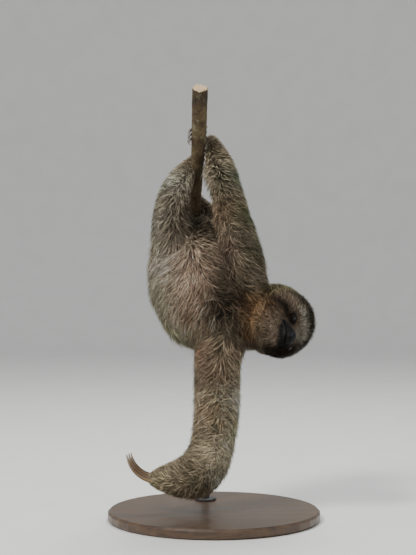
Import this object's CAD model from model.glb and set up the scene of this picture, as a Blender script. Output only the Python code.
"""Finish of a three-toed sloth that hangs from a short branch: skin, face, coat, claws, bark and stand."""

import math
from contextlib import contextmanager

import bpy
import numpy as np
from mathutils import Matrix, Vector
from mathutils.kdtree import KDTree


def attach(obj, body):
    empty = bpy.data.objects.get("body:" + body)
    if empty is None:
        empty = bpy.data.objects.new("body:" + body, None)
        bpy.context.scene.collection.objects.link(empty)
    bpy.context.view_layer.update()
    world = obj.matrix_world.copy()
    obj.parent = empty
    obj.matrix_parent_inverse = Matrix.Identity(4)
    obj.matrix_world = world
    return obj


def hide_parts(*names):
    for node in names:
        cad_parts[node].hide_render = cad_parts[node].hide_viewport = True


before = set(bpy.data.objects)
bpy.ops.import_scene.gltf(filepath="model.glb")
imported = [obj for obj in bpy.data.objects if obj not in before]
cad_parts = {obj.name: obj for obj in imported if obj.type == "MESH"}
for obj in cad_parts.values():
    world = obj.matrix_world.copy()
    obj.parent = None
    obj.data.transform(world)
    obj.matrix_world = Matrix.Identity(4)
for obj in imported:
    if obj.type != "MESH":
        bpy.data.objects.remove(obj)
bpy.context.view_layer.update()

# Everything is in metres, in the frame of the solids.

# The body's lines, as the solids have them.
# Trunk: x, y, z, half width, half depth, turn in degrees, coat depth, hair length.
TRUNK = (
    (-.036, .004, .436, .038, .036, 0, .015, .030),
    (-.0345, -.002, .415, .0605, .046, 5, .017, .034),
    (-.028, -.012, .388, .075, .061, 14, .018, .036),
    (-.019, -.014, .356, .082, .065, 26, .0175, .036),
    (-.001, -.014, .326, .077, .062, 42, .0175, .038),
    (.020, -.014, .309, .063, .057, 58, .016, .038),
    (.043, -.013, .302, .050, .050, 74, .014, .032),
    (.062, -.011, .299, .044, .044, 84, .0115, .026),
    (.080, -.010, .298, .040, .040, 90, .0095, .022),
)
# Limbs: x, y, z, radius of the solid, coat depth, hair length, from the body outwards.
LIMBS = {
    "arm_right": (
        (.045, -.024, .330, .034, .014, .034),
        (.045, -.028, .346, .039, .015, .034),
        (.043, -.033, .362, .037, .0145, .034),
        (.040, -.042, .388, .0355, .014, .034),
        (.033, -.046, .422, .0315, .0125, .032),
        (.025, -.042, .459, .028, .0115, .030),
        (.017, -.030, .497, .0245, .0105, .026),
        (.008, -.016, .532, .022, .0095, .020),
        (.001, 0, .557, .016, .0065, .013),
        (-.006, .010, .573, .0115, .0045, .009),
    ),
    "arm_left": (
        (.0140, -.024, .280, .0340, .014, .036),
        (.0105, -.028, .266, .0385, .015, .038),
        (.0060, -.031, .246, .0360, .015, .038),
        (.0045, -.032, .219, .0345, .014, .034),
        (.0040, -.032, .182, .0345, .0145, .034),
        (.0020, -.032, .145, .0340, .015, .034),
        (-.0040, -.032, .111, .0330, .0155, .034),
        (-.0150, -.032, .084, .0345, .016, .032),
        (-.0370, -.032, .069, .0325, .014, .026),
        (-.0600, -.032, .066, .0260, .010, .018),
        (-.0800, -.032, .0655, .0170, .006, .012),
        (-.0895, -.032, .0655, .0110, .0035, .008),
    ),
    "leg_left": (
        (-.061, -.032, .415, .034, .014, .034),
        (-.065, -.038, .446, .0275, .012, .032),
        (-.062, -.038, .475, .025, .0105, .028),
        (-.053, -.015, .504, .022, .009, .022),
        (-.043, .009, .522, .018, .0075, .016),
        (-.035, .022, .534, .015, .006, .012),
        (-.027, .031, .545, .0115, .0045, .009),
    ),
    "leg_right": (
        (-.004, -.006, .417, .029, .012, .030),
        (.011, .010, .429, .028, .012, .028),
        (.027, .026, .438, .024, .0105, .026),
        (.009, .046, .452, .020, .0085, .020),
        (-.010, .055, .465, .017, .007, .016),
        (-.020, .060, .476, .014, .0055, .012),
        (-.029, .062, .490, .011, .0042, .009),
    ),
    "tail": (
        (-.046, .012, .432, .018, .006, .018),
        (-.054, .032, .444, .016, .006, .018),
        (-.060, .048, .451, .013, .005, .016),
        (-.064, .061, .455, .009, .004, .012),
    ),
}
# 1 where the hair points outwards along a limb, and -1 where it points back to the body.
HAIR_SENSE = {"arm_right": -1, "arm_left": 1, "leg_left": -1, "leg_right": -1, "tail": 1}
# Where the hair parts on a limb's front, across its half width, and how far it fans out from there.
PARTING = {"arm_right": (.55, 1.1), "arm_left": (.15, 1.9), "leg_left": (-.35, 1.2)}
LIMB_STEP = .004
SQUASHED = .42

# The head in its own axes: forward, left, up.
HEAD_CENTRE = np.array((.0955, -.018, .298))
HEAD_FORWARD = np.array((.494, -.779, -.386))
HEAD_CROWN = np.array((.862, .498, .098))
HEAD = (
    (-.049, .014, .014, .002),
    (-.042, .030, .029, .002),
    (-.028, .044, .042, .001),
    (-.010, .0515, .049, 0),
    (.008, .0525, .050, 0),
    (.022, .049, .0465, 0),
    (.032, .0425, .0405, -.001),
    (.039, .034, .0325, -.0035),
    (.0445, .0245, .024, -.008),
    (.050, .0185, .017, -.0125),
    (.0545, .0145, .013, -.0145),
    (.058, .0095, .0085, -.015),
)
HEAD_COAT, FACE_COAT = .0068, .0022
EYE = np.array((.0367, .0232, -.0006))
EYE_GAZE = np.array((.80, .55, .10))
EYE_RADIUS = .0049
EYE_HALF_WIDE, EYE_HALF_HIGH = math.radians(47), math.radians(34)
LID = .00055
# How far from an eye the lids are shaped, how low the skin lies under the ball, and how much fuller the
# ball's front is.
EYE_REACH, SOCKET_DEPTH, EYE_FRONT = .011, .72, .06
NOSE_LEVEL = -.0088
NOSE_HALF = (.0100, .0066)
MOUTH_HALF, MOUTH_LOW, MOUTH_SMILE, SMILE_PEAK = .0245, -.0230, .0040, .017
CLAW_BEND_CENTRE = np.array((-.0845, -.032, .108))
CLAW_END = .006
BRANCH_TOP = np.array((-.0205, -.068, .640))
BRANCH_FACES_UP = (-.03, -.6, .8)
CUT_RADIUS, CUT_LOWEST, LOWER_CUT_DEPTH = .0122, .62, .0006
RIDGE_SIZE, RIDGE_HEIGHT = .006, .0016
FLESH_VOXEL = .0024
FLESH_SOFTNESS, FLESH_ROUNDS = .6, 14
WHORL = np.array((.0185, -.078, .318))
# Where the hair is most tangled: centre, radius, how much more.
WILD_SPOTS = (
    ((.012, -.050, .105), .040, 5.0),
    ((-.005, -.050, .070), .035, 2.5),
    ((.030, -.045, .200), .045, 3.0),
    ((.020, -.080, .300), .030, 2.5),
    ((.050, -.060, .430), .030, 2.0),
)
# Where it stands out furthest: between the thighs, on the wrist, over the head, under the heel of the
# hand and at the foot of the flank.
TALL_SPOTS = (
    ((-.034, -.020, .448), .022, 1.0),
    ((-.036, -.036, .470), .022, .45),
    ((-.006, -.022, .525), .020, .9),
    ((.092, -.020, .350), .022, .5),
    ((.130, -.044, .318), .022, .6),
    ((.138, -.028, .284), .022, .6),
    ((.066, -.058, .306), .022, .8),
    ((.060, -.050, .335), .018, .6),
    ((.002, -.040, .048), .026, .60),
    ((-.062, -.020, .298), .026, .50),
)
# Long strands that cross the rest: centre of the roots, radius, share of the tufts, way, length and
# colour on screen.
STREAMS = (
    ((.015, -.075, .320), .018, .035, (.35, 0, -1), .046, (180, 156, 134)),
    ((.027, -.066, .302), .015, .050, (.25, 0, -1), .042, (196, 172, 150)),
    ((.022, -.062, .374), .020, .030, (.8, 0, -.6), .036, (160, 136, 116)),
    ((.032, -.060, .388), .020, .030, (-.6, 0, -.8), .034, (150, 128, 108)),
    ((.002, -.068, .350), .028, .022, (.6, 0, -.7), .036, (156, 132, 112)),
    ((.012, -.055, .118), .020, .36, (-.75, 0, -.6), .032, (230, 214, 182)),
    ((.018, -.055, .104), .018, .28, (.5, 0, -.9), .030, (216, 204, 176)),
    ((.000, -.050, .060), .034, .12, (.15, 0, -1), .032, (150, 140, 116)),
    ((.028, -.045, .190), .030, .16, (.9, 0, -.35), .030, (200, 196, 176)),
    ((-.052, -.045, .315), .034, .12, (-.35, 0, -1), .036, (206, 196, 180)),
    ((-.050, -.025, .288), .030, .26, (-.1, 0, -1), .044, (156, 152, 128)),
    ((-.085, -.020, .360), .040, .10, (-.5, 0, -1), .034, (170, 166, 148)),
)


# Small tools of the bench.


def pick(*pieces):
    """These pieces are selected and nothing else."""
    bpy.ops.object.select_all(action="DESELECT")
    for piece in pieces:
        piece.select_set(True)
    bpy.context.view_layer.objects.active = pieces[0]


@contextmanager
def editing(piece, choice="SELECT"):
    """Edit mode on one piece, with all or nothing of it selected."""
    pick(piece)
    bpy.ops.object.mode_set(mode="EDIT")
    bpy.ops.mesh.select_all(action=choice)
    yield
    bpy.ops.object.mode_set(mode="OBJECT")


def work(piece, name, kind, **settings):
    """Gives the picked piece a modifier and applies it."""
    made = piece.modifiers.new(name, kind)
    for key, value in settings.items():
        setattr(made, key, value)
    bpy.ops.object.modifier_apply(modifier=name)


def new_piece(name, mesh):
    """A piece of the scene with this mesh."""
    piece = bpy.data.objects.new(name, mesh)
    bpy.context.collection.objects.link(piece)
    return piece


def rest_on_origin(piece):
    """The piece keeps its place in its mesh, and its object goes to the origin."""
    pick(piece)
    bpy.ops.object.transform_apply(location=True, rotation=True, scale=True)


def mark(mesh, name, values):
    """Writes a number to each vertex, or a colour, for a material to read."""
    if values.ndim == 1:
        layer = mesh.attributes.new(name=name, type="FLOAT", domain="POINT")
        layer.data.foreach_set("value", values.astype(np.float32))
    else:
        layer = mesh.color_attributes.new(name=name, type="FLOAT_COLOR", domain="POINT")
        solid = np.ones((len(values), 1))
        layer.data.foreach_set("color", np.hstack((values, solid)).astype(np.float32).ravel())
    return layer


def steady(value, low, high):
    """0 below low, 1 above high and smooth between."""
    share = np.clip((value - low) / (high - low), 0, 1)
    return share * share * (3 - 2 * share)


def unit(v):
    """Directions with a length of 1."""
    return v / np.maximum(np.linalg.norm(v, axis=-1, keepdims=True), 1e-9)


def soft_spot(points, centre, radius):
    """1 at the centre of a round spot, falling smoothly to 0 about it."""
    return np.exp(-((points - np.array(centre)) ** 2).sum(1) / radius**2)


def tree_of(points):
    """A tree that finds the nearest of these points."""
    tree = KDTree(len(points))
    for k, spot in enumerate(points):
        tree.insert(spot, k)
    tree.balance()
    return tree


def through(table, step):
    """Rows along a smooth curve through the table's rows, about a step apart."""
    rows = np.array(table, float)
    padded = np.vstack((2 * rows[0] - rows[1], rows, 2 * rows[-1] - rows[-2]))
    found = []
    for i in range(1, len(padded) - 2):
        a, b, c, d = padded[i - 1 : i + 3]
        count = max(1, round(np.linalg.norm((c - b)[:3]) / step))
        for t in np.arange(count) / count:
            even = b * (1 - t) + c * t
            curved = b * 2 + (c - a) * t + (2 * a - 5 * b + 4 * c - d) * t**2
            curved = (curved + (3 * b - a - 3 * c + d) * t**3) / 2
            curved[3:] = even[3:]
            found.append(curved)
    found.append(rows[-1])
    return np.array(found)


def head_axes():
    """Forward, left and up of the head, as rows."""
    forward = unit(HEAD_FORWARD)
    up = unit(HEAD_CROWN - forward * (HEAD_CROWN @ forward))
    return np.array((forward, np.cross(up, forward), up))


AXES = head_axes()


def in_head(points):
    """Places in the head's own axes."""
    return (points - HEAD_CENTRE) @ AXES.T


def from_head(points):
    """Places of the head's own axes in the room."""
    return points @ AXES + HEAD_CENTRE


def places_of(mesh):
    found = np.empty(len(mesh.vertices) * 3, np.float32)
    mesh.vertices.foreach_get("co", found)
    return found.reshape(-1, 3).astype(float)


def normals_of(mesh):
    found = np.empty(len(mesh.vertices) * 3, np.float32)
    mesh.vertex_normals.foreach_get("vector", found)
    return found.reshape(-1, 3).astype(float)


def put_places(mesh, places):
    """Moves every vertex of a mesh to its new place."""
    mesh.vertices.foreach_set("co", places.astype(np.float32).ravel())
    mesh.update()


# Camera, floor and lamps.


CAMERA_PLACE, CAMERA_LENS, CAMERA_SENSOR = (-.009, -1.91, .364), 82.16, 36
FLOOR_RADIUS, FLOOR_BEND, FLOOR_STEPS, WALL_HEIGHT = 4.2, 1.4, 8, 3.2
AIR_COLOUR, AIR_STRENGTH = (.93, .96, 1, 1), .50
# Lamps: name, place, size, power, colour.
LAMPS = (
    ("key_lamp", (-1.3, -1.6, 2.5), .7, 72, (1, .97, .92)),
    ("fill_lamp", (2.2, -1.6, 1.6), 1.5, 7, (.95, .98, 1)),
    ("top_lamp", (.3, .9, 2.6), 1.3, 42, (.98, 1, .96)),
)
LAMP_AIM = Vector((0, 0, .33))


def set_camera():
    """A long lens, level with the middle of the model."""
    bpy.ops.object.camera_add(location=CAMERA_PLACE, rotation=(math.radians(90), 0, 0))
    camera = bpy.context.object
    camera.name = "camera"
    camera.data.sensor_width = CAMERA_SENSOR
    camera.data.lens = CAMERA_LENS
    camera.data.clip_end = 40
    bpy.context.scene.camera = camera


def make_studio():
    """A pale floor that sweeps up all round, and soft lamps."""
    bpy.ops.object.select_all(action="DESELECT")
    bpy.ops.mesh.primitive_circle_add(vertices=96, radius=FLOOR_RADIUS, fill_type="NGON")
    floor = bpy.context.object
    floor.name = "studio_floor"
    with editing(floor):
        radius, height = FLOOR_RADIUS, 0.0
        for k in range(1, FLOOR_STEPS + 1):
            angle = math.radians(90 * k / FLOOR_STEPS)
            wider = FLOOR_RADIUS + FLOOR_BEND * math.sin(angle)
            higher = FLOOR_BEND * (1 - math.cos(angle))
            bpy.ops.mesh.extrude_region_move(TRANSFORM_OT_translate={"value": (0, 0, higher - height)})
            grown = wider / radius
            bpy.ops.transform.resize(value=(grown, grown, 1), center_override=(0, 0, higher))
            radius, height = wider, higher
        bpy.ops.mesh.extrude_region_move(TRANSFORM_OT_translate={"value": (0, 0, WALL_HEIGHT)})
        bpy.ops.mesh.delete(type="ONLY_FACE")
    floor.data.shade_smooth()
    floor.data.materials.append(studio_paint())
    world = bpy.data.worlds.new("studio_air")
    bpy.context.scene.world = world
    world.use_nodes = True
    world.node_tree.nodes["Background"].inputs["Color"].default_value = AIR_COLOUR
    world.node_tree.nodes["Background"].inputs["Strength"].default_value = AIR_STRENGTH
    for name, place, size, power, colour in LAMPS:
        bpy.ops.object.light_add(type="AREA", location=place)
        lamp = bpy.context.object
        lamp.name = name
        lamp.data.shape = "DISK"
        lamp.data.size = size
        lamp.data.energy = power
        lamp.data.color = colour
        lamp.rotation_euler = (LAMP_AIM - Vector(place)).to_track_quat("-Z", "Y").to_euler()


# Finishes.


class Finish:
    """A material under construction: nodes are added by kind, with their inputs by name."""

    def __init__(self, name):
        self.material = bpy.data.materials.new(name)
        self.material.use_nodes = True
        self.tree = self.material.node_tree
        self.shader = self.tree.nodes["Principled BSDF"]

    def add(self, kind, settings=None, **inputs):
        made = self.tree.nodes.new(kind)
        for key, value in (settings or {}).items():
            setattr(made, key, value)
        for key, value in inputs.items():
            self.feed(made, key.replace("_", " "), value)
        return made

    def feed(self, made, key, value):
        socket = made.inputs[int(key[1:])] if key[0] == "i" and key[1:].isdigit() else made.inputs[key]
        if isinstance(value, bpy.types.NodeSocket):
            self.tree.links.new(value, socket)
        else:
            socket.default_value = value

    def here(self):
        return self.add("ShaderNodeTexCoord").outputs["Object"]

    def place(self, scale=(1, 1, 1)):
        return self.add("ShaderNodeMapping", Vector=self.here(), Scale=scale).outputs["Vector"]

    def sum(self, how, a, b, result="Vector"):
        made = self.add("ShaderNodeVectorMath", {"operation": how})
        self.feed(made, "i0", a)
        self.feed(made, "i1", b)
        return made.outputs[result]

    def noise(self, where, scale, detail=3.0, rough=.55):
        made = self.add("ShaderNodeTexNoise", Vector=where, Scale=scale, Detail=detail, Roughness=rough)
        return made.outputs["Fac"]

    def cells(self, where, scale):
        """The distance to the edges of small cells."""
        made = self.add("ShaderNodeTexVoronoi", {"feature": "DISTANCE_TO_EDGE"}, Vector=where, Scale=scale)
        return made.outputs["Distance"]

    def ramp(self, value, *stops):
        """Colours along a value, where a lone number is a grey."""
        made = self.add("ShaderNodeValToRGB", Fac=value)
        steps = made.color_ramp.elements
        while len(steps) < len(stops):
            steps.new(.5)
        for step, (place, tone) in zip(steps, stops):
            step.position = place
            step.color = (*tone, 1) if np.ndim(tone) else (tone, tone, tone, 1)
        return made.outputs["Color"]

    def mix(self, how, share, a, b):
        made = self.add("ShaderNodeMix", {"data_type": "RGBA", "blend_type": how, "clamp_factor": True})
        self.feed(made, "i0", share)
        self.feed(made, "i6", a)
        self.feed(made, "i7", b)
        return made.outputs[2]

    def shade(self, tone, share, value, *stops):
        """Lightens and darkens a tone by a pattern."""
        return self.mix("MULTIPLY", share, tone, self.ramp(value, *stops))

    def span(self, value, low, high, new_low, new_high):
        made = self.add("ShaderNodeMapRange", Value=value)
        for key, number in zip(("From Min", "From Max", "To Min", "To Max"), (low, high, new_low, new_high)):
            made.inputs[key].default_value = number
        return made.outputs["Result"]

    def own(self, name):
        return self.add("ShaderNodeAttribute", {"attribute_name": name})

    def relief(self, height, strength, depth, under=None):
        made = self.add("ShaderNodeBump", Height=height, Strength=strength, Distance=depth)
        if under is not None:
            self.feed(made, "Normal", under)
        return made.outputs["Normal"]

    def set(self, **inputs):
        for key, value in inputs.items():
            self.feed(self.shader, key.replace("_", " "), value)
        return self.material


def studio_paint():
    """Matt pale grey with a faint grain."""
    paint = Finish("studio_paint")
    grain = paint.noise(paint.place(), 9)
    tone = paint.ramp(grain, (.3, (.80, .80, .785)), (.7, (.83, .83, .815)))
    return paint.set(Base_Color=tone, Roughness=.9)


def hair_finish():
    """Hair: each tuft's own tone, broken by fine streaks."""
    hair = Finish("sloth_hair")
    where = hair.place()
    streak = hair.noise(where, 900, 2)
    patch = hair.noise(where, 45, 3)
    tone = hair.shade(hair.own("hair_tone").outputs["Color"], 1.0, streak, (.3, .86), (.7, 1.1))
    tone = hair.shade(tone, .6, patch, (.35, (.86, .84, .80)), (.65, 1.1))
    hair.set(Sheen_Weight=.02, Sheen_Roughness=.4, Specular_IOR_Level=.08)
    return hair.set(Base_Color=tone, Roughness=.62)


def skin_finish():
    """Skin: the coat's markings seen through it, and bare leather on the nose, lips and lids."""
    skin = Finish("sloth_skin")
    where = skin.place()
    bare = skin.own("bare").outputs["Fac"]
    fine = skin.noise(where, 620, 4, .6)
    nap = skin.noise(where, 1500, 2, .5)
    creases = skin.cells(where, 760)
    tone = skin.shade(skin.own("skin_tone").outputs["Color"], 1.0, fine, (.3, .78), (.7, 1.15))
    tone = skin.shade(tone, bare, creases, (.0, (.62, .60, .62)), (.12, 1.05))
    wet = skin.span(bare, 0, 1, .85, .52)
    leather = skin.relief(creases, .35, .0003, skin.relief(nap, .35, .0004))
    return skin.set(Base_Color=tone, Roughness=wet, Normal=leather, Specular_IOR_Level=.10)


def eye_finish(centre, gaze):
    """A dark brown iris round a pupil, under a clear wet front."""
    eye = Finish("sloth_eye")
    off = eye.sum("SUBTRACT", eye.here(), tuple(centre))
    way = eye.add("ShaderNodeVectorMath", {"operation": "NORMALIZE"}, i0=off).outputs["Vector"]
    ahead = eye.sum("DOT_PRODUCT", way, tuple(gaze), "Value")
    fibre = eye.noise(off, 2600, 3)
    white, rim = (.70, (.006, .004, .004)), (.78, (.018, .010, .007))
    iris, pupil = (.90, (.032, .016, .010)), (.93, (.003, .002, .002))
    tone = eye.shade(eye.ramp(ahead, white, rim, iris, pupil), .6, fibre, (.3, .5), (.7, 1.4))
    eye.set(Coat_Weight=.9, Coat_Roughness=.05, Coat_IOR=1.42, Specular_IOR_Level=.15)
    return eye.set(Base_Color=tone, Roughness=.3)


# Along a claw, from root to tip.
HORN_TONES = (
    (.0, (.46, .36, .21)),
    (.25, (.27, .18, .10)),
    (.6, (.17, .105, .058)),
    (.85, (.26, .19, .12)),
    (1, (.55, .49, .39)),
)


def claw_finish(name, light):
    """Streaked horn: brown along the middle, dark on the inner edge, paler at root and tip."""
    horn = Finish(name)
    streak = horn.noise(horn.place(), 700, 4, .6)
    stops = [(place, tuple(value * light for value in colour)) for place, colour in HORN_TONES]
    tone = horn.ramp(horn.own("horn").outputs["Fac"], *stops)
    tone = horn.mix("MIX", horn.own("edge").outputs["Fac"], tone, (.035, .020, .012, 1))
    tone = horn.shade(tone, .8, streak, (.3, (.55, .52, .5)), (.7, 1.25))
    rough = horn.span(streak, .3, .7, .3, .5)
    return horn.set(Base_Color=tone, Roughness=rough, Normal=horn.relief(streak, .3, .0003))


def bark_finish():
    """Mottled olive-brown bark with pale lichen flecks and fine cracks."""
    bark = Finish("bark_finish")
    where = bark.place((1, 1, .35))
    broad = bark.noise(bark.place(), 38, 5, .65)
    grain = bark.noise(where, 420, 6, .7)
    cracks = bark.cells(where, 230)
    lichen = bark.noise(bark.place(), 120, 3, .6)
    tone = bark.ramp(broad, (.32, (.026, .017, .007)), (.5, (.072, .047, .020)), (.68, (.150, .108, .052)))
    tone = bark.shade(tone, .75, grain, (.3, (.45, .43, .4)), (.7, (1.35, 1.3, 1.25)))
    tone = bark.shade(tone, .6, cracks, (0, (.35, .33, .3)), (.1, 1.05))
    tone = bark.mix("MIX", bark.span(lichen, .58, .68, 0, .6), tone, (.17, .16, .10, 1))
    deep = bark.relief(grain, .7, .0012, bark.relief(cracks, .5, .0008))
    return bark.set(Base_Color=tone, Roughness=.85, Normal=deep)


def cut_wood_finish(centre):
    """The sawn end of the branch: rings round the pith."""
    sawn = Finish("sawn_wood")
    off = sawn.sum("SUBTRACT", sawn.here(), tuple(centre))
    kind = {"wave_type": "RINGS", "rings_direction": "SPHERICAL"}
    wave = sawn.add("ShaderNodeTexWave", kind, Vector=off, Scale=190, Distortion=2.5, Detail=3)
    speck = sawn.noise(off, 800, 4)
    tone = sawn.ramp(wave.outputs["Fac"], (.1, (.42, .28, .15)), (.9, (.60, .45, .27)))
    tone = sawn.shade(tone, .5, speck, (.3, (.7, .68, .65)), (.7, 1.1))
    return sawn.set(Base_Color=tone, Roughness=.8, Normal=sawn.relief(speck, .4, .0004))


def walnut_finish():
    """Dark oiled wood with long grain."""
    wood = Finish("stand_walnut")
    grain = wood.noise(wood.place((1, 9, 9)), 12, 7, .62)
    pores = wood.noise(wood.place((1, 30, 30)), 60, 3, .6)
    tone = wood.ramp(grain, (.3, (.035, .020, .012)), (.5, (.085, .048, .026)), (.7, (.13, .078, .042)))
    tone = wood.shade(tone, .7, pores, (.35, (.5, .48, .46)), (.55, 1.08))
    rough, fine = wood.span(grain, .3, .7, .32, .48), wood.relief(pores, .25, .0004)
    return wood.set(Base_Color=tone, Roughness=rough, Normal=fine, Coat_Weight=.15, Coat_Roughness=.25)


def steel_finish():
    """Brushed steel, with fine turned lines."""
    steel = Finish("stand_brushed_steel")
    lines = steel.noise(steel.place((1, 1, 40)), 90, 4, .6)
    smudge = steel.noise(steel.place(), 30, 3)
    tone = steel.ramp(lines, (.3, (.07, .07, .072)), (.7, (.12, .12, .123)))
    rough = steel.span(smudge, .3, .7, .42, .6)
    return steel.set(Base_Color=tone, Metallic=1.0, Roughness=rough, Normal=steel.relief(lines, .2, .0002))


# The flesh under the coat.


def lines_of_flesh():
    """Balls of flesh: centre, half sizes, own axes, line, share along it, coat depth and hair length."""
    found = []
    trunk = through(TRUNK, LIMB_STEP)
    for k, (x, y, z, wide, thick, turn, coat, hair) in enumerate(trunk):
        turn = math.radians(turn)
        along = np.array((math.sin(turn), 0, -math.cos(turn)))
        side = np.array((math.cos(turn), 0, math.sin(turn)))
        sizes = (wide - coat, thick - coat, SQUASHED * (thick - coat))
        found.append(((x, y, z), sizes, (side, (0, 1, 0), along), "trunk", k / (len(trunk) - 1), coat, hair))
    for name, table in LIMBS.items():
        rows = through(table, LIMB_STEP)
        for k, (x, y, z, radius, coat, hair) in enumerate(rows):
            along = unit(rows[min(k + 1, len(rows) - 1), :3] - rows[max(k - 1, 0), :3])
            side = unit(np.cross(along, (0, 1, 0)))
            axes = (side, np.cross(along, side), along)
            found.append(((x, y, z), (radius - coat,) * 3, axes, name, k / (len(rows) - 1), coat, hair))
    return found


def skull_rows():
    """The head's sections under the coat: forward, half width, half height, rise."""
    rows = []
    for f, wide, high, rise in HEAD:
        coat = FACE_COAT + (HEAD_COAT - FACE_COAT) * (1 - float(steady(f, .012, .040)))
        bare = f - coat * float(steady(f, .02, .05)) + .6 * coat * float(steady(-f, .02, .05))
        rows.append((bare, wide - coat, high - coat, rise))
    first, last = rows[0], rows[-1]
    rows.insert(0, (first[0] - .002, .0005, .0005, first[3]))
    rows.append((last[0] + .0016, .0005, .0005, last[3]))
    fine = through([(f, 0, 0, f, wide, high, rise) for f, wide, high, rise in rows], .001)
    return fine[:, 3], fine[:, 4], fine[:, 5], fine[:, 6]


SKULL = skull_rows()


def skull_reach(ways):
    """How far the bare head reaches from its centre along each way, in the head's axes."""
    f, wide, high, rise = SKULL
    near, far = np.full(len(ways), .004), np.full(len(ways), .078)
    for _ in range(22):
        middle = (near + far) / 2
        p = ways * middle[:, None]
        half_wide, half_high, middle_up = (np.interp(p[:, 0], f, line) for line in (wide, high, rise))
        outside = (p[:, 1] / half_wide) ** 2 + ((p[:, 2] - middle_up) / half_high) ** 2 > 1
        outside |= (p[:, 0] > f[-1]) | (p[:, 0] < f[0])
        far = np.where(outside, middle, far)
        near = np.where(outside, near, middle)
    return (near + far) / 2


def gather_spots(points, spots):
    """The sum of soft round spots at each place."""
    return sum(much * soft_spot(points, centre, radius) for centre, radius, much in spots)


def head_share(points):
    """1 where a point belongs to the head alone, falling to 0 at the neck."""
    local = in_head(points)
    reach = np.linalg.norm(local, axis=1)
    to_neck = unit(AXES @ np.array((-1.0, .05, .02)))
    turn = np.degrees(np.arccos(np.clip(unit(local) @ to_neck, -1, 1)))
    return steady(turn, 52, 78) * steady(-reach, -.076, -.066)


def model_flesh():
    """Balls of clay along the body's lines, fused into one skin."""
    bpy.ops.object.select_all(action="DESELECT")
    bpy.ops.mesh.primitive_uv_sphere_add(segments=20, ring_count=12, radius=1)
    ball = bpy.context.object
    shape = places_of(ball.data)
    faces = [tuple(face.vertices) for face in ball.data.polygons]
    places, loops = [], []
    for centre, sizes, axes, *_ in lines_of_flesh():
        loops += [tuple(v + len(places) * len(shape) for v in face) for face in faces]
        places.append(shape * np.array(sizes) @ np.array(axes) + np.array(centre))
    local = unit(shape)
    loops += [tuple(v + len(places) * len(shape) for v in face) for face in faces]
    places.append(from_head(local * skull_reach(local)[:, None]))
    mesh = bpy.data.meshes.new("sloth_skin")
    mesh.from_pydata(np.vstack(places).tolist(), [], loops)
    skin = new_piece("sloth_skin", mesh)
    bpy.data.objects.remove(ball)
    pick(skin)
    work(skin, "fuse", "REMESH", mode="VOXEL", voxel_size=FLESH_VOXEL)
    work(skin, "soften", "SMOOTH", factor=FLESH_SOFTNESS, iterations=FLESH_ROUNDS)
    return skin


def refine(skin, chosen):
    """Divides the faces whose vertices are all chosen."""
    mesh = skin.data
    with editing(skin, "DESELECT"):
        bpy.ops.mesh.select_mode(type="FACE")
    marks = np.array([chosen[list(face.vertices)].all() for face in mesh.polygons])
    mesh.polygons.foreach_set("select", marks)
    bpy.ops.object.mode_set(mode="EDIT")
    bpy.ops.mesh.subdivide(number_cuts=1)
    bpy.ops.object.mode_set(mode="OBJECT")


def settle_head(skin):
    """Lays the head's vertices on the head's own form."""
    places = places_of(skin.data)
    share = head_share(places)
    local = in_head(places)
    ways = unit(local)
    placed = from_head(ways * skull_reach(ways)[:, None])
    put_places(skin.data, places * (1 - share[:, None]) + placed * share[:, None])


def bell(*pairs):
    """1 where every value is 0, falling smoothly over its width."""
    return np.exp(-sum((value / width) ** 2 for value, width in pairs))


def mouth_level(left):
    """The line between the lips: low in the middle, highest at SMILE_PEAK, turned down at the corners."""
    return MOUTH_LOW + MOUTH_SMILE * np.sin(math.pi / 2 * left / SMILE_PEAK) ** 2


def nose_reach(left, up):
    """1 on the edge of the bare nose, less inside it."""
    squeeze = 1 + .22 * steady(-(up - NOSE_LEVEL), 0, .006)
    return np.hypot(left * squeeze / NOSE_HALF[0], (up - NOSE_LEVEL) / NOSE_HALF[1])


# Soft forms of the face: height, then the middle and half size sideways and upwards.
FACE_FORMS = (
    (-.0018, EYE[1], .0078, EYE[2], .0068),  # socket
    (.0011, .022, .011, .0095, .0034),  # brow
    (.0012, .028, .008, -.0150, .007),  # cheek
    (-.0008, .0135, .0026, -.0075, .007),  # fold by the nose
)


def face_relief(local):
    """How far the face's features stand out of the plain head, in metres."""
    f, left, up = local.T
    side = np.abs(left)
    front = steady(f, .012, .026)
    relief = 0
    for height, aside, wide, level, high in FACE_FORMS:
        relief = relief + height * bell((side - aside, wide), (up - level, high))
    rim = nose_reach(left, up)
    relief += .0009 * (1 - steady(rim, .86, 1.08))
    relief -= .0004 * bell((rim - 1.14, .09))
    nostril = .0030 * bell((side - .0041, .00125), (up + .0083, .00105))
    relief -= nostril + .0012 * bell((side - .0058, .0013), (up + .0070, .0006))
    relief -= .0004 * bell((left, .0005)) * steady(up, -.0215, -.0200) * steady(-up, .0135, .0150)
    level = up - mouth_level(left)
    lips = 1 - steady(side, MOUTH_HALF - .002, MOUTH_HALF + .001)
    relief -= .0017 * bell((level, .00052)) * lips
    relief += .00032 * (bell((level - .0016, .0010)) + .9 * bell((level + .0016, .0011))) * lips
    relief -= .0006 * bell((side - MOUTH_HALF, .0022), (level, .0020))
    relief += .0010 * bell((left, .010), (up + .0305, .0045))
    return relief * front


def eye_frame(sign):
    """Centre, gaze, across and upright of an eye, in the head's axes."""
    flip = np.array((1, sign, 1))
    gaze = unit(EYE_GAZE * flip)
    upright = unit(np.array((0, 0, 1)) - gaze * gaze[2])
    return EYE * flip, gaze, np.cross(upright, gaze), upright


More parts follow.
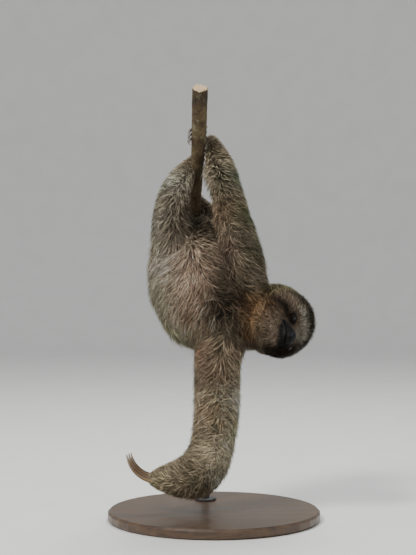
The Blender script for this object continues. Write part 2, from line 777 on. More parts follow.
def carve_face(skin):
    """Models the features, and opens the lids over the balls of the eyes."""
    places = places_of(skin.data)
    local = in_head(places)
    share = head_share(places)
    lift = face_relief(local) * share
    local = local + (normals_of(skin.data) @ AXES.T) * lift[:, None]
    for sign in (1, -1):
        centre, gaze, across, upright = eye_frame(sign)
        off = local - centre
        reach = np.linalg.norm(off, axis=1)
        near = (reach < EYE_REACH) & (share > .5) & (off @ gaze > -.002)
        way = unit(off[near])
        turn_across = np.arctan2(way @ across, way @ gaze)
        turn_up = np.arctan2(way @ upright, way @ gaze)
        opening = EYE_HALF_HIGH * np.maximum(1 - (turn_across / EYE_HALF_WIDE) ** 2, .02)
        rim = np.abs(turn_up - math.radians(1.5)) / opening
        rim = np.where(np.abs(turn_across) > EYE_HALF_WIDE, 3 + np.abs(turn_across), rim)
        shut = steady(rim, .92, 1.10)
        around = np.hypot(turn_across, turn_up)
        lid = EYE_RADIUS + LID + .0003 * bell((rim - 1.35, .28))
        lid = lid - .00028 * bell((around - math.radians(50), math.radians(6)))
        blend = steady(reach[near], EYE_RADIUS + .0004, EYE_RADIUS + .0038)
        covered = np.maximum(reach[near], lid * (1 - blend) + reach[near] * blend)
        radius = covered * shut + EYE_RADIUS * SOCKET_DEPTH * (1 - shut)
        local[near] = centre + way * radius[:, None]
    put_places(skin.data, from_head(local))


# Markings, which the skin and the coat share.


def tone(red, green, blue):
    """Screen colour numbers as light."""
    share = np.array((red, green, blue)) / 255
    return np.where(share <= .04045, share / 12.92, ((share + .055) / 1.055) ** 2.4)


COAT_TONE = tone(149, 136, 115)
# Washes of colour over the coat: centre, radius, colour.
WASHES = (
    ((-.068, -.032, .501), .035, tone(180, 178, 163)),  # knee of the left leg
    ((-.081, -.044, .446), .035, tone(142, 140, 128)),  # outside of its thigh
    ((-.060, -.049, .469), .026, tone(162, 151, 134)),  # front of its thigh
    ((-.058, -.051, .433), .017, tone(88, 70, 54)),  # dark streak on it
    ((-.048, -.043, .468), .019, tone(86, 74, 60)),  # inside of it
    ((-.021, -.028, .440), .031, tone(15, 11, 8)),  # crotch
    ((-.032, -.050, .393), .024, tone(188, 163, 143)),  # top of the belly
    ((-.068, -.047, .377), .035, tone(196, 188, 174)),  # left of the belly
    ((-.035, -.063, .360), .035, tone(220, 188, 166)),  # middle of the belly
    ((-.078, -.036, .327), .035, tone(138, 135, 117)),  # flank
    ((-.034, -.055, .310), .029, tone(150, 122, 103)),  # foot of the belly
    ((-.050, -.027, .282), .029, tone(140, 142, 114)),  # foot of the flank
    ((.013, -.060, .367), .023, tone(48, 35, 29)),  # chest by the arm
    ((.012, -.066, .321), .031, tone(20, 13, 9)),  # breast
    ((.035, -.056, .337), .022, tone(34, 22, 16)),  # side of the neck
    ((.038, -.050, .290), .021, tone(16, 10, 6)),  # armpit
    ((.022, -.059, .407), .020, tone(116, 96, 85)),  # raised arm, root
    ((.058, -.055, .404), .023, tone(48, 54, 36)),  # its outside
    ((.051, -.059, .376), .015, tone(108, 99, 83)),  # grey spot on its shoulder
    ((.014, -.052, .459), .022, tone(148, 122, 102)),  # its inside, middle
    ((.045, -.050, .454), .023, tone(84, 92, 66)),  # its outside, middle
    ((.002, -.031, .511), .020, tone(172, 159, 138)),  # its inside, upper part
    ((.028, -.033, .509), .023, tone(106, 112, 94)),  # its outside, upper part
    ((-.002, -.007, .556), .016, tone(158, 146, 122)),  # its wrist
    ((-.015, -.043, .254), .022, tone(150, 119, 99)),  # hanging arm, shoulder
    ((.022, -.049, .260), .013, tone(140, 118, 100)),  # pale streak on it
    ((.003, -.052, .226), .022, tone(142, 121, 103)),  # upper arm
    ((.029, -.040, .182), .017, tone(210, 209, 196)),  # elbow
    ((-.018, -.043, .169), .026, tone(200, 179, 153)),  # left edge of the forearm
    ((.004, -.052, .168), .020, tone(162, 141, 114)),  # middle of the forearm
    ((.025, -.039, .136), .016, tone(166, 168, 139)),  # right edge of the forearm
    ((.009, -.048, .113), .017, tone(228, 220, 196)),  # wrist
    ((-.027, -.051, .071), .025, tone(128, 118, 98)),  # hand
    ((-.075, -.037, .067), .020, tone(164, 153, 124)),  # fingers
    ((.006, -.040, .073), .018, tone(210, 208, 190)),  # heel of the hand
    ((-.030, .055, .370), .075, tone(152, 142, 124)),  # middle of the back
    ((.010, .060, .320), .028, tone(190, 180, 158)),  # pale patch between the shoulders
)
WASH_STRENGTH = .97
# Washes that cross from the neck to the head: centre, radius, colour, strength.
THROAT_WASHES = (
    ((.060, -.058, .326), .019, tone(136, 102, 68), .82),
    ((.055, -.058, .303), .017, tone(156, 120, 84), .60),
    ((.060, -.042, .270), .023, tone(34, 24, 15), .90),
    ((.052, -.056, .281), .013, tone(118, 90, 62), .65),
)


def markings(points):
    """The coat's colour at each place."""
    found = np.tile(COAT_TONE, (len(points), 1))
    for centre, radius, colour in WASHES:
        found += (colour - found) * (WASH_STRENGTH * soft_spot(points, centre, radius))[:, None]
    head = steady(head_share(points), .2, .9)[:, None]
    found = found * (1 - head) + head_markings(points) * head
    for centre, radius, colour, strength in THROAT_WASHES:
        found += (colour - found) * (strength * soft_spot(points, centre, radius))[:, None]
    return found


def head_markings(points):
    """The head's colours: back, cheek, throat, crown, brow band, eye stripe, eye ring and muzzle."""
    f, left, up = in_head(points).T
    side = np.abs(left)
    found = np.tile(tone(105, 91, 77), (len(points), 1))

    def wash(colour, share):
        nonlocal found
        found = found + (colour - found) * np.clip(share, 0, 1)[:, None]

    # Back of the head.
    wash(tone(100, 96, 66), steady(-f, -.012, .010))
    wash(tone(134, 123, 101), steady(-f, .008, .034))
    # Cheek, and the paler chin over the throat.
    wash(tone(70, 52, 36), .85 * bell((side - .038, .011), (up + .026, .010), (f - .016, .016)))
    wash(tone(160, 142, 124), .9 * bell((side - .012, .016), (up + .036, .011)) * steady(f, .010, .024))
    # Crown, temple and the pale band over the eyes and the nose.
    wash(tone(46, 41, 28), .98 * steady(up + .42 * side, .0246, .0304) * steady(f, .000, .012))
    wash(tone(150, 136, 120), .75 * bell((side - .037, .010), (up - .004, .009)) * steady(f, .004, .014))
    band = .0205 - .32 * np.maximum(side - .004, 0)
    band = bell((up - band, .0070))
    wash(tone(184, 177, 164), .92 * band * steady(f, .018, .028) * steady(-side, -.042, -.034))
    wash(tone(140, 136, 124), .85 * bell((side, .011), (up - .0040, .0062)) * steady(f, .036, .042))
    # The dark stripe behind the eye, and the rings round it.
    stripe = bell((up + .0258 - .34 * np.clip(f, 0, .034), .0062))
    wash(tone(20, 14, 10), .96 * (stripe * steady(side, .024, .030) * steady(f, -.006, .012)))
    ring = bell((np.hypot((side - .0255) / 1.1, up + .0035) - .0112, .0018))
    wash(tone(110, 78, 54), .45 * ring * steady(up, -.003, .004))
    wash(tone(42, 32, 27), 1.0 - steady(np.hypot((side - .0255) / .0098, (up + .0045) / .0088), .72, 1.2))
    # Muzzle, and the side of the face that is turned from the light.
    muzzle = (1 - steady(np.hypot(side / .0240, (up + .0185) / .0125), .78, 1.15)) * steady(f, .026, .036)
    wash(tone(44, 42, 43), muzzle)
    lower = 1 - steady(np.hypot(side / .0220, (up + .0165) / .0105), .75, 1.1)
    wash(tone(13, 11, 10), .9 * lower * steady(left, -.0075, -.002) * steady(f, .026, .036))
    wash(tone(26, 20, 14), .85 * steady(left, .003, .025) * steady(f, .0, .02))
    return found


def bare_share(points):
    """1 on the leather of nose, lips and lids."""
    local = in_head(points)
    f, left, up = local.T
    side = np.abs(left)
    front = steady(f, .026, .034)
    nose = 1 - steady(nose_reach(left, up), .98, 1.25)
    level = up - mouth_level(left)
    lips = 1 - steady(np.abs(level), .0020, .0036)
    lips = lips * (1 - steady(side, MOUTH_HALF - .002, MOUTH_HALF + .002))
    bridge = (1 - steady(side, .007, .011)) * steady(up, -.0230, -.0205) * steady(-up, .010, .012)
    eyes = 1 - steady(np.linalg.norm((np.stack((f, side, up), 1) - EYE), axis=1), .0056, .0072)
    return np.clip(np.maximum.reduce((nose, lips, bridge, eyes)) * front, 0, 1)


def bare_tone(points):
    """The leather's colour at each place."""
    left, up = in_head(points).T[1:]
    side = np.abs(left)
    found = np.tile(tone(44, 42, 43), (len(points), 1))
    nose = (1 - steady(nose_reach(left, up), .95, 1.1))[:, None]
    found = found * (1 - nose) + tone(48, 49, 54) * nose
    away = .92 * (steady(left, -.0065, -.0025) * steady(-up, -.001, .003))[:, None]
    found = found * (1 - away) + tone(13, 11, 11) * away
    dark = bell((up - mouth_level(left), .0016)) * (1 - steady(side, MOUTH_HALF - .001, MOUTH_HALF + .001))
    dark = np.maximum(dark, bell((side - .0043, .0024), (up + .0092, .0021)))
    return found * (1 - .9 * dark[:, None]) + tone(6, 5, 5) * .9 * dark[:, None]


# Facts about every place of the skin, which the coat follows.


SURVEY_BATCH, BLEND_DEPTH, NORMAL_ROUNDS, LIE_ROUNDS = 4000, .0025, 6, 8
WHORL_STRENGTH, WHORL_RADIUS = .35, .036
# Where the hair of the face springs from, in the head's axes.
SNOUT = np.array((.050, 0, -.006))
HEAD_ENDS = (-.050, .062)
# Coat depth and hair length on the muzzle, and what the rest and the back of the head have over that.
MUZZLE_COAT, BACK_COAT = FACE_COAT * .65, .0022
MUZZLE_HAIR, FACE_HAIR, BACK_HAIR = .0034, .0062, .014


def survey(skin):
    """Depth, length and lie of the hair at each vertex of the skin."""
    places = places_of(skin.data)
    normals = even_out(skin, normals_of(skin.data), NORMAL_ROUNDS)
    columns = (np.array(column) for column in zip(*lines_of_flesh()))
    centres, sizes, axes, names, share, coat, hair = columns
    sense = np.array([HAIR_SENSE.get(name, 1) for name in names])
    part_line, fanning = np.array([PARTING.get(name, (0, 1.1)) for name in names]).T
    facts = {key: np.zeros(len(places)) for key in ("coat", "hair", "share")}
    lie = np.zeros_like(places)
    line = np.empty(len(places), dtype=object)
    for first in range(0, len(places), SURVEY_BATCH):
        part = slice(first, first + SURVEY_BATCH)
        off = places[part, None, :] - centres[None]
        scaled = np.einsum("vbi,bji->vbj", off, axes) / sizes[None]
        gap = (np.linalg.norm(scaled, axis=2) - 1) * sizes.min(1)[None]
        weight = np.exp(-(gap - gap.min(1, keepdims=True)) / BLEND_DEPTH)
        weight /= weight.sum(1, keepdims=True)
        facts["coat"][part] = weight @ coat
        facts["hair"][part] = weight @ hair
        facts["share"][part] = weight @ share
        on_trunk = weight * (names == "trunk")
        on_limb = weight * (names != "trunk")
        lie[part] = (on_limb * sense) @ axes[:, 2]
        across = np.clip((off * axes[None, :, 0]).sum(2) / sizes[None, :, 0] - part_line, -1, 1)
        fan = steady(-normals[part][:, 1], -.2, .6)
        lie[part] += np.einsum("vb,bj->vj", on_limb * across * fanning, axes[:, 0]) * fan[:, None]
        lie[part] += trunk_lie(places[part], normals[part], on_trunk, axes, centres)
        line[part] = names[gap.argmin(1)]
    head = head_share(places)
    head_coat, head_hair, head_lie = coat_of_head(places)
    facts["coat"] = facts["coat"] * (1 - head) + head_coat * head
    facts["hair"] = facts["hair"] * (1 - head) + head_hair * head
    lie = lie * (1 - head[:, None]) + head_lie * head[:, None]
    line[head > .5] = "head"
    along_head = np.interp(in_head(places)[:, 0], HEAD_ENDS, (0, 1))
    facts["share"] = np.where(head > .5, along_head, facts["share"])
    facts["wild"] = 1 + gather_spots(places, WILD_SPOTS)
    facts["tall"] = 1 + gather_spots(places, TALL_SPOTS)
    lie = flatten(lie, normals)
    lie = flatten(even_out(skin, lie, LIE_ROUNDS), normals)
    facts.update(places=places, normals=normals, lie=lie, line=line, head=head)
    return facts


def coat_of_head(places):
    """The head's coat depth, hair length and lie: short on the muzzle and long at the back."""
    f, left, up = in_head(places).T
    ahead = steady(f, .01, .03)
    off_muzzle = steady(np.hypot(left, up - SNOUT[2]), .014, .038) * ahead + (1 - ahead)
    behind = steady(-f, -.020, .020)
    coat = MUZZLE_COAT + (HEAD_COAT - MUZZLE_COAT) * off_muzzle + BACK_COAT * behind
    hair = MUZZLE_HAIR + FACE_HAIR * off_muzzle + BACK_HAIR * behind
    return coat, hair, unit(places - from_head(SNOUT))


def trunk_lie(places, normals, weight, axes, centres):
    """On the trunk the hair parts along the belly's midline, runs round the flanks and hangs on the back."""
    side = weight @ axes[:, 0]
    along = weight @ axes[:, 2]
    off = (weight[:, :, None] * (places[:, None, :] - centres[None])).sum(1)
    across = (off * unit(side)).sum(1) / .045
    front = steady(-normals[:, 1], -.15, .75)
    back = 1 - front
    outward = np.clip(across, -1, 1)[:, None] * side
    down = np.array((0, 0, -1.0)) * weight.sum(1)[:, None]
    lean = np.clip(np.abs(across), 0, 1.4)[:, None]
    found = outward * (1.15 * front - .35 * back)[:, None] + along * (.25 * front)[:, None]
    found += down * ((.25 + .55 * lean[:, 0] ** 2) * front + back)[:, None]
    from_whorl = places - WHORL
    near = WHORL_STRENGTH * np.exp(-((from_whorl * (1, .6, 1)) ** 2).sum(1) / WHORL_RADIUS**2)[:, None]
    near = near * front[:, None] * weight.sum(1)[:, None]
    return found * (1 - near) + unit(from_whorl * (1, 0, 1)) * near


def flatten(lie, normals):
    """Lays directions down on the skin."""
    return unit(lie - normals * (lie * normals).sum(1, keepdims=True))


def even_out(skin, values, rounds):
    """Averages values over neighbouring vertices."""
    mesh = skin.data
    ends = np.empty(len(mesh.edges) * 2, np.int32)
    mesh.edges.foreach_get("vertices", ends)
    a, b = ends.reshape(-1, 2).T
    count = np.bincount(np.concatenate((a, b)), minlength=len(values))[:, None] + 1.0
    for _ in range(rounds):
        total = values.copy()
        for k in range(values.shape[1]):
            from_b = np.bincount(a, values[b, k], len(values))
            total[:, k] += from_b + np.bincount(b, values[a, k], len(values))
        values = total / count
    return unit(values)


# The coat.

# Pieces: lines they grow on, range along them, tufts, hair width, material slot.
COAT_PIECES = {
    "coat_face": (("head",), (.50, 1.01), 14500, .00092, "coat_head"),
    "coat_head": (("head",), (-.01, .50), 11000, .00090, "coat_head"),
    "coat_neck": (("trunk",), (.66, 1.01), 13500, .00095, "coat_back"),
    "coat_chest": (("trunk",), (.46, .66), 16200, .00100, "coat_belly"),
    "coat_belly": (("trunk",), (.24, .46), 17400, .00100, "coat_belly"),
    "coat_rump": (("trunk", "tail"), (-.01, .24), 12200, .00100, "coat_back"),
    "coat_arm_right": (("arm_right",), (-.01, 1.01), 16400, .00095, "coat_limb"),
    "coat_arm_left": (("arm_left",), (-.01, .60), 16400, .00100, "coat_limb"),
    "coat_hand_left": (("arm_left",), (.60, 1.01), 13000, .00100, "coat_limb"),
    "coat_leg_left": (("leg_left",), (-.01, 1.01), 13000, .00095, "coat_limb"),
    "coat_leg_right": (("leg_right",), (-.01, 1.01), 6300, .00095, "coat_limb"),
}
# Tufts to a lock and to a patch of one tone, and how a guard tuft differs from the rest.
LOCK_SIZE, PATCH_SIZE = 5, 55
GUARD_SHARE, GUARD_WIDTH, GUARD_LENGTH = .16, 1.35, 1.15
LOOSE_SHARE, LOOSE_RISE, LOOSE_TURN = .07, (1.0, 1.35), .70
GUARD_RISE, PLAIN_RISE, PLAIN_TURN = (.95, 1.22), (.40, 1.10), .17
LENGTHS, WIDTHS, STREAM_LENGTHS, STREAM_SHADES = (.65, 1.15), (.62, 1.1), (.6, 1.1), (.55, 1.15)
LOOSE_PULL, GUARD_PULL, PLAIN_PULL, PULL_ENDS = .1, .28, .48, (.005, .009)
# How much the shade differs from patch to patch, lock to lock and tuft to tuft, and on the guard tufts.
PATCH_SPREAD, LOCK_SPREAD, OWN_SPREAD, SHADES = .09, .11, .50, (.25, 2.2)
PALE_SHARE, PALE_GUARD, DARK_GUARD = .6, (1.25, 1.75), (.38, .70)
# Along a tuft: its steps, its shade at root, middle and tip, and its width.
TUFT_STEPS, ROOT_DEPTH = 2, .0008
SHADE_AT, ROOT_TO_TIP = (0, .35, 1), (.22, .80, 1.20)
WIDTH_AT, TAPER, FLATNESS = (0, .35, .7, 1), (.8, 1, .7, .3), .75
# The size of a tuft's own patch on the unwrap.
CHART_SIZE = .003
# The length of hair that has its full width, and the share of the table's length that it gets.
FULL_HAIR, HAIR_LENGTH = .016, .70
FIRST_SEED = 100


def unwrap(skin):
    """Lays the skin out flat, for the export."""
    with editing(skin):
        bpy.ops.uv.smart_project(angle_limit=math.radians(66), island_margin=.002)
    skin.data.uv_layers.active.name = "OFBake"


def plots_of(skin):
    """The skin's triangles: corners, areas and places on the unwrap."""
    mesh = skin.data
    mesh.calc_loop_triangles()
    count = len(mesh.loop_triangles)
    corners, loops = np.empty(count * 3, np.int32), np.empty(count * 3, np.int32)
    mesh.loop_triangles.foreach_get("vertices", corners)
    mesh.loop_triangles.foreach_get("loops", loops)
    flat = np.empty(len(mesh.loops) * 2, np.float32)
    mesh.uv_layers["OFBake"].data.foreach_get("uv", flat)
    corners = corners.reshape(-1, 3)
    places = places_of(mesh)
    a, b, c = (places[corners[:, k]] for k in range(3))
    area = np.linalg.norm(np.cross(b - a, c - a), axis=1) / 2
    return corners, area, flat.reshape(-1, 2)[loops.reshape(-1, 3)]


def sow(plots, facts, keep, count, rng):
    """Roots spread evenly over the chosen triangles: place, nearest vertex, place on the unwrap."""
    corners, area, maps = plots
    chosen = np.flatnonzero(keep)
    odds = np.cumsum(area[chosen] * facts["thick"][corners[chosen]].mean(1))
    ticks = (np.arange(count) + rng.random(count)) / count * odds[-1]
    found = chosen[np.minimum(np.searchsorted(odds, ticks), len(chosen) - 1)]
    u, v = rng.random(count), rng.random(count)
    over = u + v > 1
    u, v = np.where(over, 1 - u, u), np.where(over, 1 - v, v)
    shares = np.stack((1 - u - v, u, v), 1)
    place = (facts["places"][corners[found]] * shares[:, :, None]).sum(1)
    spot = (maps[found] * shares[:, :, None]).sum(1)
    nearest = corners[found, shares.argmax(1)]
    return place, nearest, spot


def comb(facts, place, nearest, length, rise, turn, bend, tree):
    """Lays each tuft along the lie of the coat: its points from root to tip."""
    here, index = place.copy(), nearest.copy()
    points = [place - facts["normals"][index] * ROOT_DEPTH]
    for step in range(1, TUFT_STEPS + 1):
        lie, up = facts["lie"][index], facts["normals"][index]
        aside = np.cross(up, lie)
        angle = turn + bend * (step - 1)
        way = lie * np.cos(angle)[:, None] + aside * np.sin(angle)[:, None]
        here = here + way * (length / TUFT_STEPS)[:, None]
        index = np.array([tree.find(spot)[1] for spot in here])
        up = facts["normals"][index]
        here -= up * ((here - facts["places"][index]) * up).sum(1, keepdims=True)
        share = step / TUFT_STEPS
        height = facts["coat"][index] * rise * (1 - (1 - share) ** 1.7)
        points.append(here + up * height[:, None])
    return np.stack(points, 1)


def gather(points, place, guides, pull):
    """Draws each tuft towards the tip of the nearest guide, so that the hair falls in locks."""
    tree = tree_of(place[guides])
    lead = np.empty(len(place), int)
    far = np.empty(len(place))
    for i, spot in enumerate(place):
        _, k, gap = tree.find(spot)
        lead[i], far[i] = guides[k], gap
    pull = pull * (1 - steady(far, *PULL_ENDS))
    offset = place - place[lead]
    for step in range(1, TUFT_STEPS + 1):
        share = (pull * (step / TUFT_STEPS) ** 1.3)[:, None]
        goal = points[lead, step] + offset * (1 - .8 * step / TUFT_STEPS)
        points[:, step] += (goal - points[:, step]) * share
    return lead


def weave(name, points, width, tones, spots, up):
    """One mesh of closed three-sided tufts that taper to a tip."""
    count, rings = len(points), TUFT_STEPS
    taper = np.interp(np.arange(rings) / rings, WIDTH_AT, TAPER)
    ahead = np.diff(points, axis=1)
    tangent = unit(np.concatenate((ahead[:, :1], ahead[:, :-1] + ahead[:, 1:]), 1))
    side = unit(np.cross(tangent, up[:, None, :] + .001))
    over = np.cross(side, tangent)
    half = (width[:, None] * taper[None])[:, :, None] / 2
    corners = []
    for angle in (90, 210, 330):
        a = math.radians(angle)
        corners.append(points[:, :-1] + side * half * math.cos(a) + over * half * math.sin(a) * FLATNESS)
    ring_places = np.stack(corners, 2).reshape(count, rings * 3, 3)
    places = np.concatenate((ring_places, points[:, -1:]), 1)
    per = rings * 3 + 1
    pattern, sizes = [2, 1, 0], [3]
    for ring in range(rings):
        for k in range(3):
            a, b = ring * 3 + k, ring * 3 + (k + 1) % 3
            face = [a, b, b + 3, a + 3] if ring < rings - 1 else [a, b, per - 1]
            pattern += face
            sizes.append(len(face))
    pattern, sizes = np.array(pattern), np.array(sizes)
    loops = (pattern[None] + (np.arange(count) * per)[:, None]).ravel()
    totals = np.tile(sizes, count)
    mesh = bpy.data.meshes.new(name)
    mesh.vertices.add(count * per)
    mesh.vertices.foreach_set("co", places.astype(np.float32).ravel())
    mesh.loops.add(len(loops))
    mesh.loops.foreach_set("vertex_index", loops.astype(np.int32))
    mesh.polygons.add(len(totals))
    mesh.polygons.foreach_set("loop_start", (np.cumsum(totals) - totals).astype(np.int32))
    mesh.update(calc_edges=True)
    mesh.polygons.foreach_set("use_smooth", np.ones(len(totals), bool))
    shares = np.concatenate((np.repeat(np.arange(rings) / rings, 3), (1.0,)))
    shade = np.interp(shares, SHADE_AT, ROOT_TO_TIP)
    colours = np.clip(tones[:, None, :] * shade[None, :, None], 0, 1).reshape(-1, 3)
    mesh.color_attributes.active_color = mark(mesh, "hair_tone", colours)
    turn = np.concatenate((np.tile((-CHART_SIZE / 2, 0, CHART_SIZE / 2), rings), (0,)))
    patch = np.stack((turn, (shares - .5) * CHART_SIZE), 1)
    chart = (spots[:, None, :] + patch[None]).reshape(-1, 2)
    maps = mesh.uv_layers.new(name="OFBake")
    maps.data.foreach_set("uv", np.clip(chart[loops], 0, 1).astype(np.float32).ravel())
    return new_piece(name, mesh)


def grow_coat(skin, facts):
    """Sows, combs, locks and colours the tufts of each piece of the coat."""
    tree = tree_of(facts["places"])
    plots = plots_of(skin)
    first = plots[0][:, 0]
    finish = hair_finish()
    face = facts["head"] * steady(in_head(facts["places"])[:, 0], -.012, .016)
    facts["thick"] = (1 - bare_share(facts["places"])) * (1 + .9 * face)
    lines = facts["line"][first].astype(str)
    share = np.where(lines == "tail", 0, facts["share"][first])
    for number, (name, (grown, span, count, width, slot)) in enumerate(COAT_PIECES.items()):
        rng = np.random.default_rng(FIRST_SEED + number)
        keep = np.isin(lines, grown) & (share > span[0]) & (share <= span[1])
        place, nearest, spot = sow(plots, facts, keep, count, rng)
        size, smooth = facts["hair"][nearest], face[nearest]
        loose = rng.random(count) < LOOSE_SHARE * (1 - .8 * smooth) * facts["wild"][nearest]
        streaming, heading, reach, colour = join_streams(place, rng)
        guard = ~loose & (rng.random(count) < GUARD_SHARE * (1 - .5 * smooth))
        length = HAIR_LENGTH * size * rng.uniform(*LENGTHS, count) * np.where(loose | guard, GUARD_LENGTH, 1)
        rise = np.where(loose, rng.uniform(*LOOSE_RISE, count), rng.uniform(*PLAIN_RISE, count))
        rise = np.where(guard, rng.uniform(*GUARD_RISE, count), rise) * facts["tall"][nearest]
        loose_turn = rng.normal(0, LOOSE_TURN, count)
        turn = np.where(loose, loose_turn, rng.normal(0, PLAIN_TURN + .30 * smooth, count))
        length = np.where(streaming, reach * rng.uniform(*STREAM_LENGTHS, count), length)
        rise = np.where(streaming, rng.uniform(*LOOSE_RISE, count), rise)
        turn = np.where(streaming, turns_to(facts, nearest, heading) + rng.normal(0, .22, count), turn)
        bend = rng.normal(0, .10, count) + np.where(loose, rng.normal(0, .3, count), 0)
        points = comb(facts, place, nearest, length, rise, turn, bend, tree)
        guides = rng.choice(count, count // LOCK_SIZE, replace=False)
        pull = np.where(loose | streaming, LOOSE_PULL, np.where(guard, GUARD_PULL, PLAIN_PULL))
        lead = gather(points, place, guides, pull * (1 - .5 * smooth))
        sway = rng.normal(0, .035, (count, TUFT_STEPS + 1, 3))
        points += sway * (np.arange(TUFT_STEPS + 1) / TUFT_STEPS)[None, :, None] * length[:, None, None]
        shades = hair_shades(place, lead, guard | loose, smooth, rng)
        tones = markings(points[:, 1]) * shades[:, None]
        tones = np.where(streaming[:, None], colour * rng.uniform(*STREAM_SHADES, (count, 1)), tones)
        fat = width * rng.uniform(*WIDTHS, count) * np.clip(size / FULL_HAIR, .42, 1)
        fat = fat * np.where(guard, GUARD_WIDTH, 1)
        piece = weave(name, points, fat, tones, spot, facts["normals"][nearest])
        piece.data.materials.append(finish)
        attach(piece, "root")


def join_streams(place, rng):
    """Which tufts belong to the long strands, with their way, length and colour."""
    member = np.zeros(len(place), bool)
    heading, reach, colour = np.zeros_like(place), np.zeros(len(place)), np.zeros_like(place)
    for centre, radius, share, way, length, shade in STREAMS:
        new = rng.random(len(place)) < share * soft_spot(place, centre, radius)
        member |= new
        heading[new], reach[new], colour[new] = unit(np.array(way, float)), length, tone(*shade)
    return member, heading, reach, colour


def turns_to(facts, nearest, heading):
    """How far each tuft turns from the lie of the coat to head that way."""
    lie, up = facts["lie"][nearest], facts["normals"][nearest]
    aside = np.cross(up, lie)
    return np.arctan2((heading * aside).sum(1), (heading * lie).sum(1))


def hair_shades(place, lead, guard, smooth, rng):
    """How pale or dark each tuft is: by its patch, its lock and itself, and most on the guard tufts."""
    count = len(place)
    spots = place[rng.choice(count, count // PATCH_SIZE, replace=False)]
    patches = tree_of(spots)
    blurred = place + rng.normal(0, .0022, place.shape)
    patch = rng.normal(1, PATCH_SPREAD, len(spots))[[patches.find(spot)[1] for spot in blurred]]
    lock = 1 + rng.normal(0, 1, count)[lead] * (LOCK_SPREAD + .17 * smooth)
    own = rng.normal(1, OWN_SPREAD + .20 * smooth, count)
    pale = rng.random(count) < PALE_SHARE
    strong = np.where(pale, rng.uniform(*PALE_GUARD, count), rng.uniform(*DARK_GUARD, count))
    return np.clip(patch * lock * own, *SHADES) * np.where(guard, strong, 1)


LIMB_PARTS = ("upper_arm", "forearm", "hand", "thigh", "shin", "foot")
FLESH = ["head", "nose", "neck", "chest", "belly", "pelvis", "tail"]
FLESH += [f"{part}_{side}" for part in LIMB_PARTS for side in ("left", "right")]


def make_skin():
    """The skin, finer on the face and finest at the eyes and the muzzle."""
    skin = model_flesh()
    settle_head(skin)
    for face_start in (-.002, .018):
        places = places_of(skin.data)
        refine(skin, (in_head(places)[:, 0] > face_start) & (head_share(places) > .6))
    local = in_head(places_of(skin.data))
    side = np.abs(local[:, 1])
    eyes = np.linalg.norm(np.stack((local[:, 0], side, local[:, 2]), 1) - EYE, axis=1) < .0078
    muzzle = (local[:, 0] > .03) & (side < .0215) & (local[:, 2] > -.026) & (local[:, 2] < -.001)
    refine(skin, eyes | muzzle)
    settle_head(skin)
    smooth_patch(skin)
    carve_face(skin)
    unwrap(skin)
    return skin


def smooth_patch(skin):
    """Settles what the refining left uneven."""
    pick(skin)
    work(skin, "ease", "SMOOTH", factor=.4, iterations=3)
    skin.data.shade_smooth()


def colour_skin(skin):
    """The coat's markings on the skin, darker under deep hair, and the leather's own colours."""
    places = places_of(skin.data)
    bare = bare_share(places)
    shade = .34 + .56 * steady(in_head(places)[:, 0], .01, .035) * head_share(places)
    tones = markings(places) * shade[:, None]
    tones = tones * (1 - bare[:, None]) + bare_tone(places) * bare[:, None]
    mark(skin.data, "skin_tone", tones)
    mark(skin.data, "bare", bare)
    skin.data.materials.append(skin_finish())
    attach(skin, "root")
    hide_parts(*FLESH)


def make_eyes():
    """Each eye: a ball with a fuller clear front."""
    for side, sign in (("left", 1), ("right", -1)):
        centre, gaze, _, _ = eye_frame(sign)
        middle, ahead = from_head(centre), gaze @ AXES
        bpy.ops.object.select_all(action="DESELECT")
        bpy.ops.mesh.primitive_uv_sphere_add(segments=40, ring_count=28, radius=EYE_RADIUS, location=middle)
        eye = bpy.context.object
        eye.rotation_euler = Vector(ahead).to_track_quat("Z", "Y").to_euler()
        eye.name = f"eyeball_{side}"
        rest_on_origin(eye)
        places = places_of(eye.data)
        off = places - middle
        front = steady(unit(off) @ ahead, .80, .93)
        put_places(eye.data, middle + off * (1 + EYE_FRONT * front[:, None]))
        eye.data.shade_smooth()
        eye.data.materials.append(eye_finish(middle, ahead))
        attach(eye, "root")
        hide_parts(f"eye_{side}")


def merged_copy(node, name):
    """A separate copy of a solid, its loose faces joined."""
    piece = new_piece(name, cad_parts[node].data.copy())
    piece.data.materials.clear()
    with editing(piece):
        bpy.ops.mesh.remove_doubles(threshold=.00001)
        bpy.ops.mesh.normals_make_consistent(inside=False)
        bpy.ops.mesh.customdata_custom_splitnormals_clear()
    return piece


def make_claws():
    """Smooth horn over each claw."""
    free, gripping = claw_finish("free_claw_horn", 1), claw_finish("gripping_claw_horn", .4)
    for paw in ("hand_left", "hand_right", "foot_left", "foot_right"):
        for number in (1, 2, 3):
            node = f"claw_{paw}_{number}"
            claw = merged_copy(node, f"horn_{paw}_{number}")
            work(claw, "round_off", "SUBSURF", levels=2, render_levels=2)
            claw.data.shade_smooth()
            places = places_of(claw.data)
            mark(claw.data, "horn", along_claw(places))
            inward = unit((CLAW_BEND_CENTRE - places) * (1, 0, 1))
            edge = steady((normals_of(claw.data) * inward).sum(1), .1, .75) * (paw == "hand_left")
            mark(claw.data, "edge", .8 * edge)
            claw.data.materials.append(free if paw == "hand_left" else gripping)
            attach(claw, "root")
            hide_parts(node)


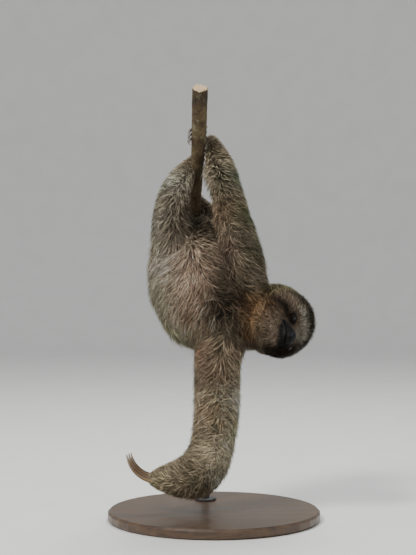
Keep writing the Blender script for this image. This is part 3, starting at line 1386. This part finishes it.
def along_claw(places):
    """0 at the claw's thick root and 1 at its point, by the distance from the root."""
    end = places[np.linalg.norm(places - places.mean(0), axis=1).argmax()]
    other = places[np.linalg.norm(places - end, axis=1).argmax()]
    near = [places[np.linalg.norm(places - spot, axis=1) < CLAW_END] for spot in (end, other)]
    girth = [np.ptp(part, axis=0).sum() for part in near]
    root = end if girth[0] > girth[1] else other
    reach = np.linalg.norm(places - root, axis=1)
    return reach / reach.max()


def make_branch():
    """Bark with low ridges, and sawn ends."""
    branch = merged_copy("branch", "branch_bark")
    with editing(branch):
        bpy.ops.mesh.subdivide(number_cuts=3)
    work(branch, "soften", "SMOOTH", factor=.5, iterations=4)
    ridges = bpy.data.textures.new("bark_ridges", "CLOUDS")
    ridges.noise_scale = RIDGE_SIZE
    ridges.noise_depth = 3
    bark = {"texture": ridges, "texture_coords": "LOCAL", "strength": RIDGE_HEIGHT, "mid_level": .5}
    work(branch, "rough", "DISPLACE", **bark)
    branch.data.shade_smooth()
    branch.data.materials.append(bark_finish())
    branch.data.materials.append(cut_wood_finish(BRANCH_TOP))
    lowest = places_of(branch.data)[:, 2].min()
    for face in branch.data.polygons:
        centre = np.array(face.center)
        on_top = centre[2] > CUT_LOWEST and np.dot(face.normal, BRANCH_FACES_UP) > .8
        on_top = on_top and np.linalg.norm(centre - BRANCH_TOP) < CUT_RADIUS
        if on_top or centre[2] < lowest + LOWER_CUT_DEPTH:
            face.material_index = 1
            face.use_smooth = False
    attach(branch, "root")
    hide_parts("branch")


def finish_stand():
    """Oiled walnut for the base and brushed steel for the rod and its collar."""
    finishes = {"stand_base": walnut_finish(), "stand_rod": steel_finish(), "stand_collar": steel_finish()}
    for node, finish in finishes.items():
        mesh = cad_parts[node].data
        for slot in range(max(1, len(mesh.materials))):
            if len(mesh.materials) > slot:
                mesh.materials[slot] = finish
            else:
                mesh.materials.append(finish)


set_camera()
make_studio()
skin = make_skin()
facts = survey(skin)
grow_coat(skin, facts)
colour_skin(skin)
make_eyes()
make_claws()
make_branch()
finish_stand()
